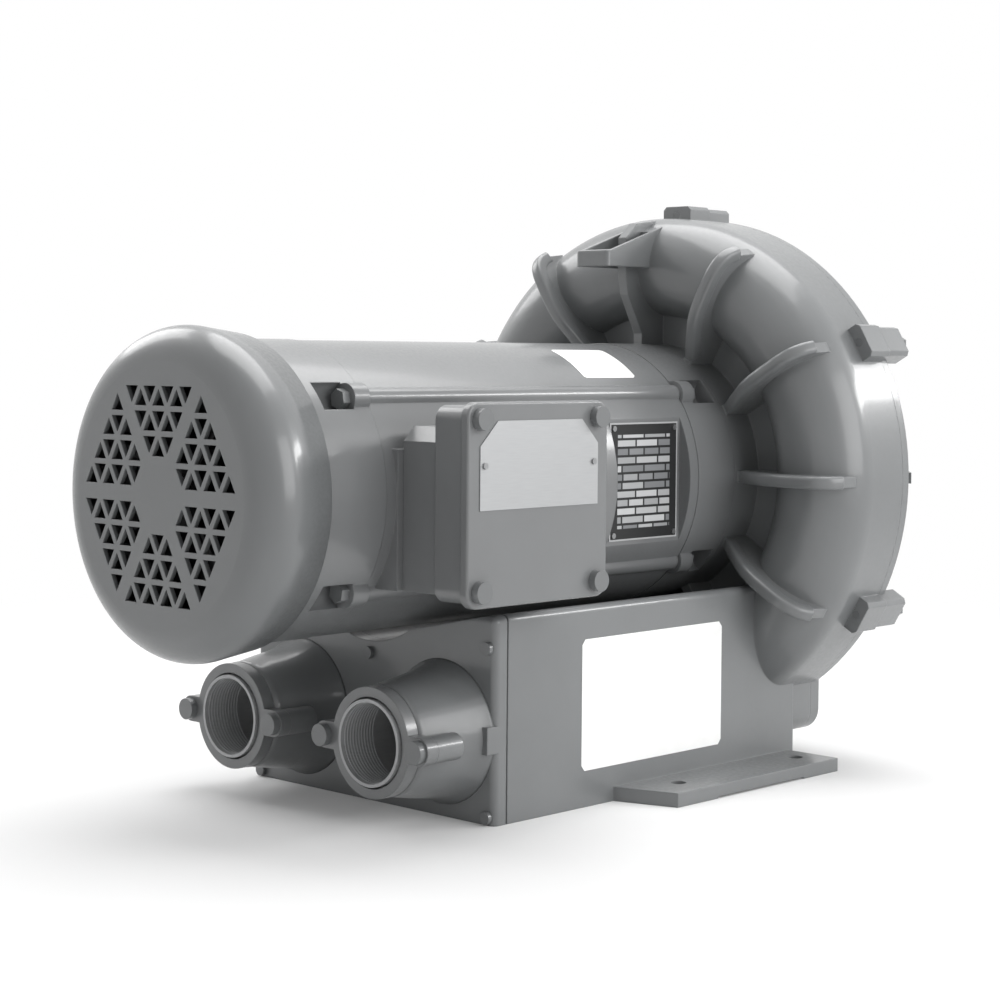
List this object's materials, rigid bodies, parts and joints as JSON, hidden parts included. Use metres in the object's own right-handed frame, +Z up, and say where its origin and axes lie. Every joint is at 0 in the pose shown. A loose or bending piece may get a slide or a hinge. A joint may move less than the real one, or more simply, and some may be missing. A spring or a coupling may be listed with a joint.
{
  "type": "side channel blower",
  "caption": "Electric side channel blower: a ribbed ring-shaped channel housing on a muffler base with two front ports, driven by a flanged fan-cooled motor.",
  "frame": {"origin": "on the floor, at the centre of the four foot holes", "axes": "+Z up, +Y along the shaft from the motor's fan towards the channel, X across"},
  "size_m": [0.508, 0.74, 0.546],
  "materials": {
    "painted_casting": "semi-gloss grey enamel over sand-cast aluminium and iron",
    "painted_fastener": "the same grey enamel over steel bolts and screws",
    "bare_steel": "machined and ground steel",
    "steel_tube": "painted over outside, bare and dull inside",
    "cast_aluminium": "as cast, machined on the hub and rim",
    "plate_aluminium": "thin satin sheet",
    "plate_black": "thin sheet, dark printed ground",
    "copper_winding": "varnished copper wire",
    "seal_rubber": "moulded nitrile",
    "gasket_sheet": "pressed fibre sheet",
    "foam": "open-cell acoustic foam",
    "fan_plastic": "moulded, conductive"
  },
  "bodies": {
    "blower_body": {"blower_housing": "painted_casting", "blower_cover": "painted_casting", "cover_bolts": "painted_fastener", "shaft_seal": "seal_rubber", "port_manifold": "painted_casting", "manifold_gasket": "gasket_sheet", "manifold_screws": "painted_fastener", "inlet_port_flange": "painted_casting", "outlet_port_flange": "painted_casting", "port_flange_bolts": "painted_fastener", "inlet_muffler_tube": "steel_tube", "outlet_muffler_tube": "steel_tube", "inlet_muffler_foam": "foam", "outlet_muffler_foam": "foam", "motor_frame": "painted_casting", "fan_end_bracket": "painted_casting", "drive_end_bracket": "painted_casting", "fan_bracket_bolts": "painted_fastener", "drive_bracket_bolts": "painted_fastener", "motor_mount_bolts": "bare_steel", "stator_core": "bare_steel", "stator_windings": "copper_winding", "drive_bearing_outer_ring": "bare_steel", "fan_bearing_outer_ring": "bare_steel", "preload_spring": "bare_steel", "fan_cover": "painted_casting", "fan_cover_screws": "painted_fastener", "conduit_box": "painted_casting", "conduit_box_cover": "painted_casting", "conduit_cover_bolts": "painted_fastener", "conduit_plate": "plate_aluminium", "conduit_plate_rivets": "bare_steel", "rating_plate": "plate_black", "rating_plate_pins": "bare_steel"},
    "rotor": {"motor_shaft": "bare_steel", "rotor_core": "bare_steel", "drive_bearing_inner_ring": "bare_steel", "fan_bearing_inner_ring": "bare_steel", "impeller": "cast_aluminium", "impeller_key": "bare_steel", "impeller_shims": "bare_steel", "impeller_washer": "bare_steel", "impeller_bolt": "bare_steel", "cooling_fan": "fan_plastic"},
    "drive_balls": {"drive_bearing_balls": "bare_steel", "drive_bearing_cage": "bare_steel"},
    "fan_balls": {"fan_bearing_balls": "bare_steel", "fan_bearing_cage": "bare_steel"}
  },
  "joints": [
    {"name": "rotor_spin", "type": "hinge", "parent": "blower_body", "child": "rotor", "pos_m": [0, 0, 0.2787], "axis": [0, 1, 0], "continuous": true},
    {"name": "drive_balls_spin", "type": "hinge", "parent": "blower_body", "child": "drive_balls", "pos_m": [0, 0, 0.2787], "axis": [0, 1, 0], "continuous": true},
    {"name": "fan_balls_spin", "type": "hinge", "parent": "blower_body", "child": "fan_balls", "pos_m": [0, 0, 0.2787], "axis": [0, 1, 0], "continuous": true}
  ],
  "couplings": [
    {"joint": "drive_balls_spin", "follows": "rotor_spin", "ratio": 0.384},
    {"joint": "fan_balls_spin", "follows": "rotor_spin", "ratio": 0.39626}
  ]
}
